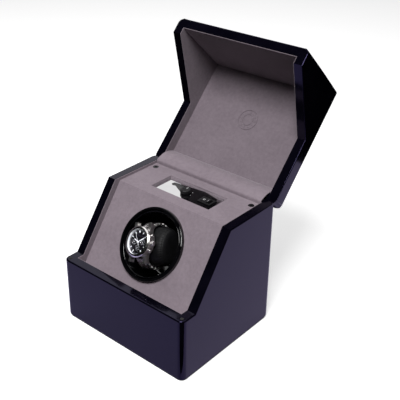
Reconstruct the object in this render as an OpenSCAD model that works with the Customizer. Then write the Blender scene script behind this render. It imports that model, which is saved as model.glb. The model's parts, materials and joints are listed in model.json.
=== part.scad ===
/* [Case] */
// Outside width of the box
body_w = 180; // [170:1:200]
// Outside depth of the box
body_d = 154; // [150:1:164]
// Height of the rim along the front
front_h = 78; // [72:1:84]
// Height of the rim along the back
rear_h = 154; // [150:1:158]
// Height of the closed box
closed_h = 173; // [171:1:180]
// Depth of the flat stretch of rim behind the front board
ledge_d = 20; // [18:1:24]
// Distance from the front to the knee where the raked rim ends
knee_d = 74; // [70:1:78]
// Thickness of the lacquered boards
board_t = 11; // [10:0.5:12]
// Radius of the upright corners
corner_r = 7; // [4:0.5:8]
// Thickness of the felt under the box
felt_t = 1.5; // [1:0.1:2]
// Thickness of the suede liners
liner_t = 0.8; // [0.6:0.1:1.2]

/* [Lid] */
// How far the top of the lid's front leans back
lid_lean = 4; // [0:0.5:5]
// Thickness of the lid's top board
lid_top_t = 4.8; // [4:0.2:7]
// Rounding of the lid's top edges
lid_edge_r = 3.2; // [1:0.2:4]
// Angle through which the lid stands open
open_angle = 132.65; // [100:0.05:133]
// Gap between the closed rims
rim_gap = 0.4; // [0.3:0.1:0.6]
// Distance of the hinge axis in front of the rear face
hinge_inset = 2.5; // [2.3:0.1:2.8]
// Distance of the hinge axis below the rear rim
hinge_drop = 0.6; // [0.5:0.1:0.8]

/* [Interior] */
// Depth of the raked fascia below the rim
fascia_sink = 7.5; // [6:0.5:9]
// Depth of the suede deck below the rim
deck_sink = 3.3; // [2.5:0.1:4]
// Thickness of the fascia board
fascia_t = 4; // [3:0.5:5]
// Thickness of the deck board
deck_t = 3; // [2.5:0.5:4]
// Width of the control window
window_w = 84.6; // [70:0.2:90]
// Front edge of the control window, behind the middle of the box
window_front = 18.8; // [16:0.2:22]
// Rear edge of the control window, behind the middle of the box
window_rear = 52.2; // [48:0.2:53]

/* [Rotor] */
// Distance of the rotor's centre up the raked rim
rotor_up = 44; // [42:0.5:46]
// Outer radius of the trim ring
ring_r = 41.6; // [41:0.1:42]
// Height of the trim ring above the fascia
ring_h = 4.5; // [3:0.1:5]
// Outer radius of the rotor cup
cup_r = 37.8; // [37:0.1:38]
// Wall of the rotor cup
cup_wall = 1.8; // [1.4:0.1:2]
// Depth of the rotor cup below the fascia
cup_depth = 46; // [44:0.5:48]
// Radius of the rotor shaft
shaft_r = 3; // [2.5:0.1:3.5]
// Module of the gears
gear_module = 1.25; // [1.25]
// Teeth on the rotor gear
gear_teeth = 48; // [48]
// Teeth on the motor pinion
pinion_teeth = 16; // [16]

/* [Cushion and watch] */
// Angle at which the cushion rests in the rotor
rest_roll = 16; // [0:1:30]
// Sideways lean of the cushion
rest_tilt = 8; // [0:1:10]
// Half of the cushion's length
cushion_half_l = 29; // [27:0.5:30]
// Half of the cushion's width, along the watch strap
cushion_half_w = 23; // [21:0.5:24]
// Half of the cushion's thickness
cushion_half_t = 18; // [16:0.5:19]
// Radius of the watch case
watch_r = 17.6; // [16:0.1:18]
// Thickness of the watch case
watch_t = 8; // [7:0.5:9]

/* [Hidden] */
$fn = 96;

eps = 0.01;
half_w = body_w / 2;
front_y = -body_d / 2;
rear_y = body_d / 2;
inner_x = half_w - board_t;
lined_x = inner_x - liner_t;
inner_front_y = front_y + board_t;
inner_rear_y = rear_y - board_t;
lined_front_y = inner_front_y + liner_t;
ledge_y = front_y + ledge_d;
knee_y = front_y + knee_d;
slope = atan2(rear_h - front_h, knee_d - ledge_d);
floor_top = felt_t + 6;

// Lid, in its closed place
lid_low = rim_gap;
slope_shift = rim_gap * 0.75;
lid_inner_top = closed_h - lid_top_t;
lid_lined_top = lid_inner_top - liner_t;
hinge_y = rear_y - hinge_inset;
hinge_z = rear_h - hinge_drop;
chamfer_h = hinge_inset * tan(open_angle / 2);
knuckle_r = 2;
pin_r = 0.9;
hinge_x = 50;
hinge_len = 24;
leaf_w = 7;
leaf_t = 0.8;

// Deck and fascia
deck_top = rear_h - deck_sink;
deck_low = deck_top - deck_t;
rotor_y = ledge_y + rotor_up * cos(slope) + fascia_sink * sin(slope);
rotor_z = front_h + rotor_up * sin(slope) - fascia_sink * cos(slope);
function fascia_y(z) = rotor_y + (z - rotor_z) / tan(slope);
deck_rear_y = inner_rear_y - 0.5;
screw_x = 71.3;
screw_y = 57;
screw_r = 1.5;
deck_head_r = 3.4;
deck_head_t = 1.6;
window_mid_y = (window_front + window_rear) / 2;
knob_x = -5;
knob_r = 6.2;
spindle_r = 3;
rocker_x = 26;
rocker_pivot_z = deck_low - 2.6;
pivot_r = 1;

// Rotor
cup_in_r = cup_r - cup_wall;
cup_floor = 3;
lip_h = 3.4;
gear_z = -cup_depth - 9;
gear_t = 5;
frame_z = gear_z - 3;
frame_t = 3;
gear_centres = gear_module * (gear_teeth + pinion_teeth) / 2;
motor_screw_y = 8.5;
inlet_x = -52;
inlet_z = 32;
inlet_r = 5.5;

// Watch
cushion_up = -1;
cushion_z = -4;
band_t = 2.6;
band_w = 17;
link_count = 18;
link_gap = 1;

// ---------- shared shapes ----------

module plan_2d(r, grow = 0) {
    w = half_w + grow - r;
    d = body_d / 2 + grow - r;
    union() {
        square([2 * (w + r), 2 * d], center = true);
        square([2 * w, 2 * (d + r)], center = true);
        for (sx = [-1, 1], sy = [-1, 1]) translate([sx * w, sy * d]) circle(r = r);
    }
}

// Prism along X from an outline in (y, z)
module along_x(x0, x1) {
    translate([x0, 0, 0]) rotate([90, 0, 90]) linear_extrude(height = x1 - x0) children();
}

// Prism along Y from an outline in (x, z)
module along_y(y0, y1) {
    translate([0, y1, 0]) rotate([90, 0, 0]) linear_extrude(height = y1 - y0) children();
}

module block(low, high) {
    translate(low) cube(high - low);
}

module base_profile_2d(low = felt_t) {
    polygon([
        [front_y, low], [rear_y, low], [rear_y, rear_h - chamfer_h], [hinge_y, rear_h],
        [knee_y, rear_h], [ledge_y, front_h], [front_y, front_h]
    ]);
}

module base_solid() {
    intersection() {
        translate([0, 0, felt_t]) linear_extrude(height = rear_h) plan_2d(corner_r);
        along_x(-half_w, half_w) base_profile_2d();
    }
}

module lid_profile_2d() {
    e = lid_edge_r;
    front_top = front_y + lid_lean;
    intersection() {
        polygon([
            [front_y, front_h + lid_low], [ledge_y - slope_shift, front_h + lid_low],
            [knee_y - slope_shift, rear_h + lid_low], [hinge_y, rear_h + lid_low],
            [rear_y, rear_h + lid_low + chamfer_h], [rear_y, closed_h], [front_top, closed_h]
        ]);
        union() {
            translate([front_y, 0]) square([body_d, closed_h - e]);
            translate([front_top + e, 0]) square([body_d - lid_lean - 2 * e, closed_h]);
            translate([front_top + e, closed_h - e]) circle(r = e);
            translate([rear_y - e, closed_h - e]) circle(r = e);
        }
    }
}

module lid_front_2d() {
    e = lid_edge_r;
    union() {
        translate([-half_w, 0]) square([body_w, closed_h - e]);
        translate([-half_w + e, 0]) square([body_w - 2 * e, closed_h]);
        for (s = [-1, 1]) translate([s * (half_w - e), closed_h - e]) circle(r = e);
    }
}

module lid_solid() {
    intersection() {
        translate([0, 0, front_h]) linear_extrude(height = closed_h) plan_2d(corner_r);
        along_x(-half_w, half_w) lid_profile_2d();
        along_y(front_y, rear_y) lid_front_2d();
    }
}

// A point of the shut lid, as [y, z], where the open lid holds it
function opened_point(p) = let (dy = p[0] - hinge_y, dz = p[1] - hinge_z)
    [hinge_y + dy * cos(open_angle) + dz * sin(open_angle),
     hinge_z - dy * sin(open_angle) + dz * cos(open_angle)];

// Swings what is drawn in the closed place to where the open lid stands
module opened() {
    translate([0, hinge_y, hinge_z]) rotate([-open_angle, 0, 0]) translate([0, -hinge_y, -hinge_z]) children();
}

// Rotor frame: +Z out of the fascia along the rotor's axis, +Y up the fascia
module at_rotor() {
    translate([0, rotor_y, rotor_z]) rotate([slope, 0, 0]) children();
}

module at_cushion() {
    at_rotor() rotate([0, 0, rest_roll]) translate([0, cushion_up, cushion_z])
        rotate([0, -rest_tilt, 0]) children();
}

module at_watch() {
    at_cushion() translate([0, 0, cushion_half_t]) children();
}

module tube(r_out, r_in, z0, z1) {
    translate([0, 0, z0]) difference() {
        cylinder(r = r_out, h = z1 - z0);
        translate([0, 0, -1]) cylinder(r = r_in, h = z1 - z0 + 2);
    }
}

module hinge_pockets(r) {
    for (s = [-1, 1]) translate([s * hinge_x - hinge_len / 2 - 0.5, hinge_y, hinge_z])
        rotate([0, 90, 0]) cylinder(r = r, h = hinge_len + 1);
}

// ---------- case ----------

module left_side() {
    color("#17161d") difference() {
        intersection() {
            base_solid();
            block([-half_w, front_y, 0], [-inner_x, rear_y, rear_h]);
        }
        hinge_pockets(knuckle_r + 0.4);
    }
}

module right_side() {
    color("#17161d") mirror([1, 0, 0]) left_side();
}

module front_board() {
    color("#15141b") intersection() {
        base_solid();
        block([-inner_x, front_y, 0], [inner_x, inner_front_y, rear_h]);
    }
}

module rear_board() {
    color("#15141b") difference() {
        intersection() {
            base_solid();
            block([-inner_x, inner_rear_y, 0], [inner_x, rear_y, rear_h]);
        }
        hinge_pockets(knuckle_r + 0.4);
        leaf_plates(-1, 0.05);
        translate([inlet_x, inner_rear_y - 1, inlet_z]) rotate([-90, 0, 0])
            cylinder(r = inlet_r + 0.1, h = board_t + 2);
    }
}

module bottom_board() {
    color("#2a2623") block([-inner_x, inner_front_y, felt_t], [inner_x, inner_rear_y, floor_top]);
}

module base_felt() {
    color("#0d0d0f") linear_extrude(height = felt_t) plan_2d(corner_r, -1);
}

// ---------- suede lining ----------

module side_liner_2d() {
    polygon([
        [lined_front_y, floor_top], [inner_rear_y, floor_top], [inner_rear_y, rear_h - 0.2],
        [knee_y + 0.1, rear_h - 0.2], [ledge_y + 0.1, front_h - 0.2], [lined_front_y, front_h - 0.2]
    ]);
}

module left_liner() {
    color("#8c8088") along_x(-inner_x, -lined_x) side_liner_2d();
}

module right_liner() {
    color("#8c8088") along_x(lined_x, inner_x) side_liner_2d();
}

module front_liner() {
    color("#8c8088") block([-inner_x, inner_front_y, floor_top], [inner_x, lined_front_y, front_h - 0.2]);
}

module fascia() {
    edge = lined_x - 0.1;
    color("#8c8088") difference() {
        intersection() {
            at_rotor() block([-edge, -rotor_up * 2, -fascia_t], [edge, rotor_up * 2, 0]);
            block([-edge, lined_front_y + 0.1, floor_top], [edge, rear_y, deck_low - 0.05]);
        }
        at_rotor() translate([0, 0, -fascia_t - 1]) cylinder(r = ring_r - 1.3, h = fascia_t + 2);
    }
}

module deck() {
    edge = lined_x - 0.1;
    color("#8c8088") difference() {
        along_x(-edge, edge) polygon([
            [fascia_y(deck_low), deck_low], [deck_rear_y, deck_low],
            [deck_rear_y, deck_top], [fascia_y(deck_top), deck_top]
        ]);
        block([-window_w / 2, window_front, deck_low - 1], [window_w / 2, window_rear, deck_top + 1]);
        for (s = [-1, 1]) translate([s * screw_x, screw_y, deck_low - 1]) {
            cylinder(r = screw_r + 0.1, h = deck_t + 2);
            translate([0, 0, 1 + deck_t - deck_head_t]) cylinder(r = deck_head_r + 0.1, h = 3);
        }
    }
}

module deck_cleats() {
    color("#3a3029") for (s = [-1, 1]) difference() {
        block([s > 0 ? lined_x - 12 : -lined_x + 0.1, 16, deck_low - 9],
              [s > 0 ? lined_x - 0.1 : -lined_x + 12, inner_rear_y - 2, deck_low]);
        translate([s * screw_x, screw_y, deck_low - 10]) cylinder(r = screw_r, h = 12);
    }
}

module deck_screws() {
    color("#0c0c0e") for (s = [-1, 1]) translate([s * screw_x, screw_y, deck_low]) difference() {
        union() {
            translate([0, 0, -8]) cylinder(r = screw_r, h = 8 + deck_t - deck_head_t);
            translate([0, 0, deck_t - deck_head_t]) cylinder(r = deck_head_r, h = 1.9);
        }
        translate([0, 0, deck_t - 0.7]) cylinder(r = 1.4, h = 2, $fn = 6);
    }
}

// ---------- controls ----------

module control_plate() {
    lap = 4;
    color("#c9cacd") difference() {
        block([-window_w / 2 - lap, window_front - lap, deck_low - 2],
              [window_w / 2 + lap, window_rear + lap, deck_low]);
        translate([knob_x, window_mid_y, deck_low - 3]) cylinder(r = spindle_r + 0.1, h = 4);
        block([rocker_x - 7.6, window_mid_y - 5.1, deck_low - 3],
              [rocker_x + 7.6, window_mid_y + 5.1, deck_low + 1]);
    }
}

module circuit_board() {
    color("#1f5a35") difference() {
        union() {
            block([-40, window_front, deck_low - 15.6], [40, window_rear, deck_low - 14]);
            block([knob_x - 5, window_mid_y - 5, deck_low - 14],
                  [knob_x + 5, window_mid_y + 5, deck_low - 8]);
            for (sx = [-1, 1], sy = [-1, 1])
                translate([sx * 37, window_mid_y + sy * 13, deck_low - 14]) cylinder(r = 2.5, h = 12);
        }
        translate([knob_x, window_mid_y, deck_low - 13]) cylinder(r = spindle_r + 0.06, h = 12);
    }
}

module mode_knob() {
    color("#111114") translate([knob_x, window_mid_y, 0]) difference() {
        union() {
            translate([0, 0, deck_low - 12.5]) cylinder(r = spindle_r, h = 13.5);
            translate([0, 0, deck_low + 0.5]) cylinder(r = knob_r, h = 3.6);
            translate([0, 0, deck_low + 4.1]) cylinder(r1 = knob_r, r2 = knob_r - 0.6, h = 0.6);
        }
        block([-0.6, 2, deck_low + 4.2], [0.6, 7, deck_low + 6]);
    }
}

module rocker_housing() {
    color("#0b0b0d") difference() {
        union() {
            block([rocker_x - 8.8, window_mid_y - 6.2, deck_low],
                  [rocker_x + 8.8, window_mid_y + 6.2, deck_low + 1.2]);
            block([rocker_x - 7.5, window_mid_y - 5, deck_low - 9],
                  [rocker_x + 7.5, window_mid_y + 5, deck_low]);
        }
        block([rocker_x - 6.5, window_mid_y - 4, deck_low - 6.5],
              [rocker_x + 6.5, window_mid_y + 4, deck_low + 2]);
        translate([rocker_x, window_mid_y - 6, rocker_pivot_z]) rotate([-90, 0, 0])
            cylinder(r = pivot_r + 0.1, h = 12);
    }
}

module power_rocker() {
    color("#141418") translate([rocker_x, window_mid_y, rocker_pivot_z]) rotate([0, -7, 0]) {
        along_y(-3.7, 3.7)
            polygon([[-5.6, 2.4], [-2.4, -2.2], [2.4, -2.2], [5.6, 2.4], [5.4, 4.9], [0, 3.9], [-5.4, 4.9]]);
        translate([0, -4.8, 0]) rotate([-90, 0, 0]) cylinder(r = pivot_r, h = 9.6);
    }
}

// ---------- trim ring and drive ----------

module trim_ring() {
    e = 1.2;
    color("#0a0a0c") at_rotor() rotate_extrude() union() {
        translate([ring_r - 3, 0]) square([3, ring_h - e]);
        translate([ring_r - 3, 0]) square([3 - e, ring_h]);
        translate([ring_r - e, ring_h - e]) circle(r = e);
        translate([ring_r - 3, -7]) square([1.5, 7.5]);
    }
}

module frame_post_places() {
    for (sx = [-1, 1], sy = [-1, 1]) translate([sx * 47, sy * 34, 0]) children();
}

module drive_frame() {
    color("#4a4d52") at_rotor() difference() {
        union() {
            block([-54, -41, frame_z - frame_t], [54, 41, frame_z]);
            translate([0, 0, frame_z - frame_t - 14]) cylinder(r = 9, h = 15);
            frame_post_places() translate([0, 0, frame_z - eps]) cylinder(r = 4, h = -frame_z - fascia_t + eps);
        }
        translate([0, 0, frame_z - 20]) cylinder(r = 5.5, h = 24);
        translate([gear_centres, 0, frame_z - 5]) cylinder(r = 4.2, h = 10);
        for (s = [-1, 1]) translate([gear_centres, s * motor_screw_y, frame_z - 5])
            cylinder(r = screw_r, h = 10);
        frame_post_places() translate([0, 0, frame_z - frame_t - 1]) cylinder(r = screw_r, h = 12);
    }
}

module frame_screws() {
    color("#9a9da2") at_rotor() frame_post_places() {
        translate([0, 0, frame_z - frame_t]) cylinder(r = screw_r, h = 11);
        translate([0, 0, frame_z - frame_t - 2]) cylinder(r = 2.8, h = 2);
    }
}

module shaft_bushes() {
    color("#b08a4a") at_rotor() for (z0 = [frame_z - 6, frame_z - 16.9])
        tube(5.5, shaft_r + 0.05, z0, z0 + 5.9);
}

module gear_motor() {
    color("#8d9095") at_rotor() translate([gear_centres, 0, 0]) difference() {
        union() {
            translate([0, 0, frame_z - frame_t - 16]) cylinder(r = 12.5, h = 16);
            translate([0, 0, frame_z - frame_t - 34]) cylinder(r = 12, h = 18.1);
            translate([0, 0, frame_z - frame_t - 36]) cylinder(r = 4, h = 2.1);
            translate([0, 0, frame_z - frame_t]) cylinder(r = 4, h = 2.4);
            for (s = [-1, 1]) translate([s * 6 - 1, -1, frame_z - frame_t - 40]) cube([2, 0.6, 6.1]);
        }
        for (s = [-1, 1]) translate([0, s * motor_screw_y, frame_z - frame_t - 5]) cylinder(r = screw_r, h = 6);
        translate([0, 0, frame_z - frame_t - 8]) cylinder(r = 2.05, h = 12);
    }
}

module motor_screws() {
    color("#9a9da2") at_rotor() for (s = [-1, 1])
        translate([gear_centres, s * motor_screw_y, frame_z - frame_t - 4]) {
            cylinder(r = screw_r, h = 4 + frame_t);
            translate([0, 0, 4 + frame_t]) cylinder(r = 2.7, h = 1.4);
        }
}

function involute_deg(radius, base) = tan(acos(base / radius)) * 180 / PI - acos(base / radius);

// Outline of a spur gear with a tooth on the +X axis
function gear_outline(m, teeth, slack = 0.12) =
    let (
        pitch = m * teeth / 2,
        base = pitch * cos(20),
        root = pitch - 1.2 * m,
        tip = pitch + 0.92 * m,
        half = 90 / teeth - slack / pitch * 90 / PI + involute_deg(pitch, base),
        start = max(base, root) + 0.001,
        radii = [for (i = [0:3]) start + (tip - start) * i / 3],
        angles = [for (r = radii) half - involute_deg(r, base)]
    )
    [for (k = [0:teeth - 1]) let (c = 360 * k / teeth) each concat(
        [root * [cos(c - angles[0]), sin(c - angles[0])]],
        [for (i = [0:3]) radii[i] * [cos(c - angles[i]), sin(c - angles[i])]],
        [for (i = [3:-1:0]) radii[i] * [cos(c + angles[i]), sin(c + angles[i])]],
        [root * [cos(c + angles[0]), sin(c + angles[0])]]
    )];

module motor_pinion() {
    color("#d8d4c4") at_rotor() translate([gear_centres, 0, 0]) {
        translate([0, 0, gear_z - 0.2]) linear_extrude(height = gear_t - 0.6)
            rotate(180 / pinion_teeth) polygon(gear_outline(gear_module, pinion_teeth));
        translate([0, 0, frame_z - frame_t - 7]) cylinder(r = 2, h = frame_t + 7 + 4);
    }
}

module rotor_gear() {
    color("#d8d4c4") at_rotor() difference() {
        union() {
            translate([0, 0, gear_z]) linear_extrude(height = gear_t - 1)
                polygon(gear_outline(gear_module, gear_teeth));
            translate([0, 0, gear_z - 1]) cylinder(r = 8, h = gear_t);
        }
        translate([0, 0, gear_z - 5]) cylinder(r = shaft_r, h = gear_t + 10);
        for (k = [0:5]) rotate(60 * k) translate([17, 0, gear_z - 1]) cylinder(r = 6, h = gear_t + 2);
    }
}

module rotor_shaft() {
    color("#c4c6c9") at_rotor() difference() {
        translate([0, 0, frame_z - 20.5]) cylinder(r = shaft_r, h = 20.5 - frame_z - cup_depth + cup_floor);
        tube(shaft_r + 1, shaft_r - 0.6, frame_z - 19, frame_z - 18);
    }
}

module shaft_clip() {
    color("#6c6f73") at_rotor() difference() {
        tube(5, shaft_r - 0.6, frame_z - 19, frame_z - 18);
        block([-1.5, 0, frame_z - 20], [1.5, 6, frame_z - 17]);
    }
}

module rotor_cup() {
    e = cup_wall / 2;
    fillet = 9;
    outer = [for (i = [0:12]) let (a = 90 * i / 12)
        [cup_r - fillet + fillet * sin(a), -cup_depth + fillet - fillet * cos(a)]];
    inner = [for (i = [12:-1:0]) let (a = 90 * i / 12, f = fillet - cup_wall)
        [cup_in_r - f + f * sin(a), -cup_depth + cup_floor + f - f * cos(a)]];
    color("#0a0a0d") at_rotor() difference() {
        union() {
            rotate_extrude() union() {
                polygon(concat([[0, -cup_depth]], outer, [[cup_r, lip_h - e], [cup_in_r, lip_h - e]], inner,
                               [[0, -cup_depth + cup_floor]]));
                translate([cup_in_r + e, lip_h - e]) circle(r = e);
            }
            translate([0, 0, -cup_depth - 5]) cylinder(r = 8, h = 5.1);
        }
        translate([0, 0, -cup_depth - 6]) cylinder(r = shaft_r, h = 6 + cup_floor);
    }
}

module dc_inlet() {
    color("#101013") translate([inlet_x, rear_y, inlet_z]) rotate([-90, 0, 0]) difference() {
        union() {
            cylinder(r = 7.5, h = 1.2);
            translate([0, 0, -board_t - 8]) cylinder(r = inlet_r, h = board_t + 8.1);
        }
        translate([0, 0, -9.5]) cylinder(r = 2.85, h = 12);
    }
    color("#c9b26a") translate([inlet_x, rear_y, inlet_z]) rotate([-90, 0, 0])
        translate([0, 0, -9.6]) cylinder(r = 1, h = 9);
}

module inlet_nut() {
    color("#6c6f73") translate([inlet_x, inner_rear_y, inlet_z]) rotate([90, 0, 0]) difference() {
        cylinder(r = 8.5, h = 2.5, $fn = 6);
        translate([0, 0, -1]) cylinder(r = inlet_r, h = 5);
    }
}

// ---------- cushion and watch ----------

module cushion() {
    color("#0e0e12") intersection() {
        at_cushion() along_x(-cushion_half_l, cushion_half_l) cushion_oval_2d();
        at_rotor() translate([0, 0, -cup_depth + cup_floor + 0.3]) cylinder(r = cup_in_r - 1, h = 90);
    }
}

// Oval outline of the cushion, its long way along the strap
module cushion_oval_2d() {
    polygon([for (i = [0:47]) let (a = 360 * i / 48) [cushion_half_w * cos(a), cushion_half_t * sin(a)]]);
}

module watch_case() {
    lug_w = 3.2;
    color("#b9bbbe") at_watch() difference() {
        union() {
            translate([0, 0, 0.2]) cylinder(r = watch_r, h = watch_t - 0.2);
            for (sx = [-1, 1], sy = [-1, 1]) translate([sx * (band_w / 2 + 0.4 + lug_w / 2), sy * 15.5, 0])
                translate([-lug_w / 2, -6, -1]) cube([lug_w, 12, 5.6]);
        }
        for (sy = [-1, 1]) translate([-band_w / 2 - 0.3, sy * 19 - 3.4, -3]) cube([band_w + 0.6, 6.8, 12]);
        translate([0, 0, watch_t - 2.2]) cylinder(r = watch_r - 3.4, h = 4);
        translate([0, 0, 4]) rotate([0, 90, 0]) cylinder(r = 0.9, h = 30);
        for (s = [-1, 1]) translate([0, 0, 4]) rotate([0, 90, s * 27]) cylinder(r = 0.9, h = 30);
    }
}

module watch_bezel() {
    color("#b9bbbe") at_watch() difference() {
        union() {
            translate([0, 0, watch_t]) cylinder(r = watch_r - 0.3, h = 0.8);
            translate([0, 0, watch_t + 0.8]) cylinder(r1 = watch_r - 0.3, r2 = watch_r - 2.4, h = 1.4);
        }
        translate([0, 0, watch_t - 1]) cylinder(r = watch_r - 3.4, h = 6);
    }
}

module watch_dial() {
    color("#0d0d10") at_watch() translate([0, 0, watch_t - 2.2]) cylinder(r = watch_r - 3.5, h = 0.6);
}

module dial_markers() {
    z0 = watch_t - 1.6;
    color("#d9dbde") at_watch() {
        for (k = [0:11]) if (k % 3 != 0) rotate(30 * k)
            translate([-0.35, watch_r - 6.6, z0]) cube([0.7, 2.4, 0.25]);
        for (k = [1:3]) rotate(90 * k) translate([0, 6.2, z0]) difference() {
            cylinder(r = 3, h = 0.2);
            translate([0, 0, -1]) cylinder(r = 2.5, h = 3);
        }
    }
}

module watch_hands() {
    z0 = watch_t - 1.2;
    color("#e6e7ea") at_watch() {
        translate([0, 0, z0 - 0.35]) cylinder(r = 0.9, h = 1.5);
        rotate(62) translate([-0.55, -1.5, z0]) cube([1.1, 8.6, 0.2]);
        rotate(-62) translate([-0.45, -1.5, z0 + 0.35]) cube([0.9, 12.4, 0.2]);
        rotate(28) translate([-0.15, -4, z0 + 0.7]) cube([0.3, 16, 0.15]);
    }
}

module watch_crystal() {
    color([0.8, 0.85, 0.9, 0.35]) at_watch() translate([0, 0, watch_t + 1])
        cylinder(r = watch_r - 3.45, h = 1.1);
}

module watch_crown() {
    color("#c3c5c8") at_watch() translate([0, 0, 4]) rotate([0, 90, 0]) {
        translate([0, 0, watch_r - 3]) cylinder(r = 0.85, h = 4);
        translate([0, 0, watch_r + 0.3]) cylinder(r = 2.5, h = 2.4);
    }
}

module watch_pushers() {
    color("#c3c5c8") at_watch() for (s = [-1, 1]) translate([0, 0, 4]) rotate([0, 90, s * 27]) {
        translate([0, 0, watch_r - 3]) cylinder(r = 0.85, h = 4);
        translate([0, 0, watch_r + 0.4]) cylinder(r = 1.6, h = 1.6);
    }
}

// A point on the strap's path round the cushion, as [y, z] in the cushion's frame
function band_point(a) = [
    (cushion_half_w + band_t / 2 + 0.4) * cos(a),
    (cushion_half_t + band_t / 2 + 0.4) * sin(a)
];

module band_links(first, last) {
    from = 50;
    step = -280 / link_count;
    for (i = [first:last]) {
        p = band_point(from + i * step);
        q = band_point(from + (i + 1) * step);
        mid = (p + q) / 2;
        long = norm(q - p) - link_gap;
        translate([0, mid[0], mid[1]]) rotate([atan2(q[1] - p[1], q[0] - p[0]), 0, 0]) band_link(long);
    }
}

// One link: a wide middle piece between two narrow ones
module band_link(long) {
    side = band_w * 0.26;
    for (s = [-1, 1]) translate([s * (band_w - side) / 2, 0, 0])
        cube([side, long, band_t - 0.4], center = true);
    cube([band_w - 2 * side - 0.3, long, band_t], center = true);
}

module watch_bracelet() {
    color("#bdbfc3") at_cushion() {
        band_links(0, 6);
        band_links(11, link_count - 1);
    }
}

module bracelet_clasp() {
    color("#b2b4b8") at_cushion() band_links(7, 10);
}

// ---------- lid ----------

module lid_board(low, high) {
    opened() difference() {
        intersection() {
            lid_solid();
            block(low, high);
        }
        hinge_pockets(knuckle_r + 0.4);
    }
}

module lid_top() {
    color("#101015") lid_board([-inner_x, inner_front_y, lid_inner_top], [inner_x, inner_rear_y, closed_h]);
}

module lid_front() {
    color("#101015") opened() intersection() {
        lid_solid();
        along_x(-inner_x, inner_x) polygon([
            [front_y - 1, front_h], [inner_front_y, front_h],
            [inner_front_y, closed_h + 1], [front_y - 1, closed_h + 1]
        ]);
    }
}

module lid_rear() {
    color("#101015") opened() difference() {
        intersection() {
            lid_solid();
            block([-inner_x, inner_rear_y, rear_h], [inner_x, rear_y, closed_h]);
        }
        hinge_pockets(knuckle_r + 0.4);
        leaf_plates(1, 0.05);
    }
}

module lid_left() {
    color("#101015") lid_board([-half_w, front_y, front_h], [-inner_x, rear_y, closed_h]);
}

module lid_right() {
    color("#101015") lid_board([inner_x, front_y, front_h], [half_w, rear_y, closed_h]);
}

module lid_liner_2d() {
    polygon([
        [lined_front_y, front_h + lid_low + 0.2], [ledge_y - slope_shift - 0.1, front_h + lid_low + 0.2],
        [knee_y - slope_shift - 0.1, rear_h + lid_low + 0.2], [inner_rear_y, rear_h + lid_low + 0.2],
        [inner_rear_y, lid_lined_top], [lined_front_y, lid_lined_top]
    ]);
}

module lid_left_liner() {
    color("#857a82") opened() along_x(-inner_x, -lined_x) lid_liner_2d();
}

module lid_right_liner() {
    color("#857a82") opened() along_x(lined_x, inner_x) lid_liner_2d();
}

module lid_front_liner() {
    color("#857a82") opened()
        block([-inner_x, inner_front_y, front_h + lid_low + 0.2], [inner_x, lined_front_y, lid_lined_top]);
}

module lid_top_liner() {
    color("#857a82") opened()
        block([-inner_x, inner_front_y, lid_lined_top], [inner_x, inner_rear_y - 8, lid_inner_top]);
}

// A plain ring of twelve ticks, pressed into the lid's lining
module lid_emblem() {
    color("#6f656d") opened() translate([0, -9, lid_lined_top - 0.3]) linear_extrude(height = 0.3) {
        difference() {
            circle(r = 13);
            circle(r = 12.3);
        }
        for (k = [0:11]) rotate(30 * k) translate([-0.4, 8.5]) square([0.8, k % 3 == 0 ? 3 : 2]);
    }
}

// ---------- hinges ----------

// The flat leaves: side -1 in the case's rim, side 1 in the lid's rim
module leaf_plates(side, grow = 0) {
    low = side < 0 ? rear_h - leaf_t : rear_h + lid_low;
    for (s = [-1, 1]) block(
        [s * hinge_x - hinge_len / 2 - grow, hinge_y - leaf_w - grow, low - (side < 0 ? grow : 1)],
        [s * hinge_x + hinge_len / 2 + grow, hinge_y - 1, low + leaf_t + (side < 0 ? 1 : grow)]
    );
}

module knuckles(side) {
    part = hinge_len / 5;
    for (s = [-1, 1], k = side < 0 ? [0, 2, 4] : [1, 3])
        translate([s * hinge_x - hinge_len / 2 + k * part + (side < 0 ? 0 : 0.1), hinge_y, hinge_z])
            rotate([0, 90, 0]) difference() {
                cylinder(r = knuckle_r, h = part - (side < 0 ? 0 : 0.2));
                translate([0, 0, -1]) cylinder(r = side < 0 ? pin_r : pin_r + 0.05, h = part + 2);
            }
}

module hinge_base_leaves() {
    part = hinge_len / 5;
    color("#a58a52") {
        difference() {
            for (s = [-1, 1]) {
                block([s * hinge_x - hinge_len / 2, hinge_y - leaf_w, rear_h - leaf_t],
                      [s * hinge_x + hinge_len / 2, hinge_y - 2.5, rear_h]);
                for (k = [0, 2, 4]) block(
                    [s * hinge_x - hinge_len / 2 + k * part, hinge_y - 2.6, rear_h - leaf_t],
                    [s * hinge_x - hinge_len / 2 + (k + 1) * part, hinge_y - 1.2, rear_h]);
            }
            translate([-half_w, hinge_y, hinge_z]) rotate([0, 90, 0]) cylinder(r = pin_r + 0.2, h = body_w);
        }
        knuckles(-1);
    }
}

module hinge_lid_leaves() {
    part = hinge_len / 5;
    low = rear_h + lid_low;
    color("#a58a52") opened() {
        for (s = [-1, 1]) {
            block([s * hinge_x - hinge_len / 2, hinge_y - leaf_w, low],
                  [s * hinge_x + hinge_len / 2, hinge_y - 2.7, low + leaf_t]);
            for (k = [1, 3]) block(
                [s * hinge_x - hinge_len / 2 + k * part + 0.1, hinge_y - 2.8, low],
                [s * hinge_x - hinge_len / 2 + (k + 1) * part - 0.1, hinge_y - 1.3, low + leaf_t]);
        }
        knuckles(1);
    }
}

module hinge_pins() {
    color("#c9b98a") for (s = [-1, 1]) translate([s * hinge_x - hinge_len / 2 - 0.3, hinge_y, hinge_z])
        rotate([0, 90, 0]) cylinder(r = pin_r, h = hinge_len + 0.6);
}

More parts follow.
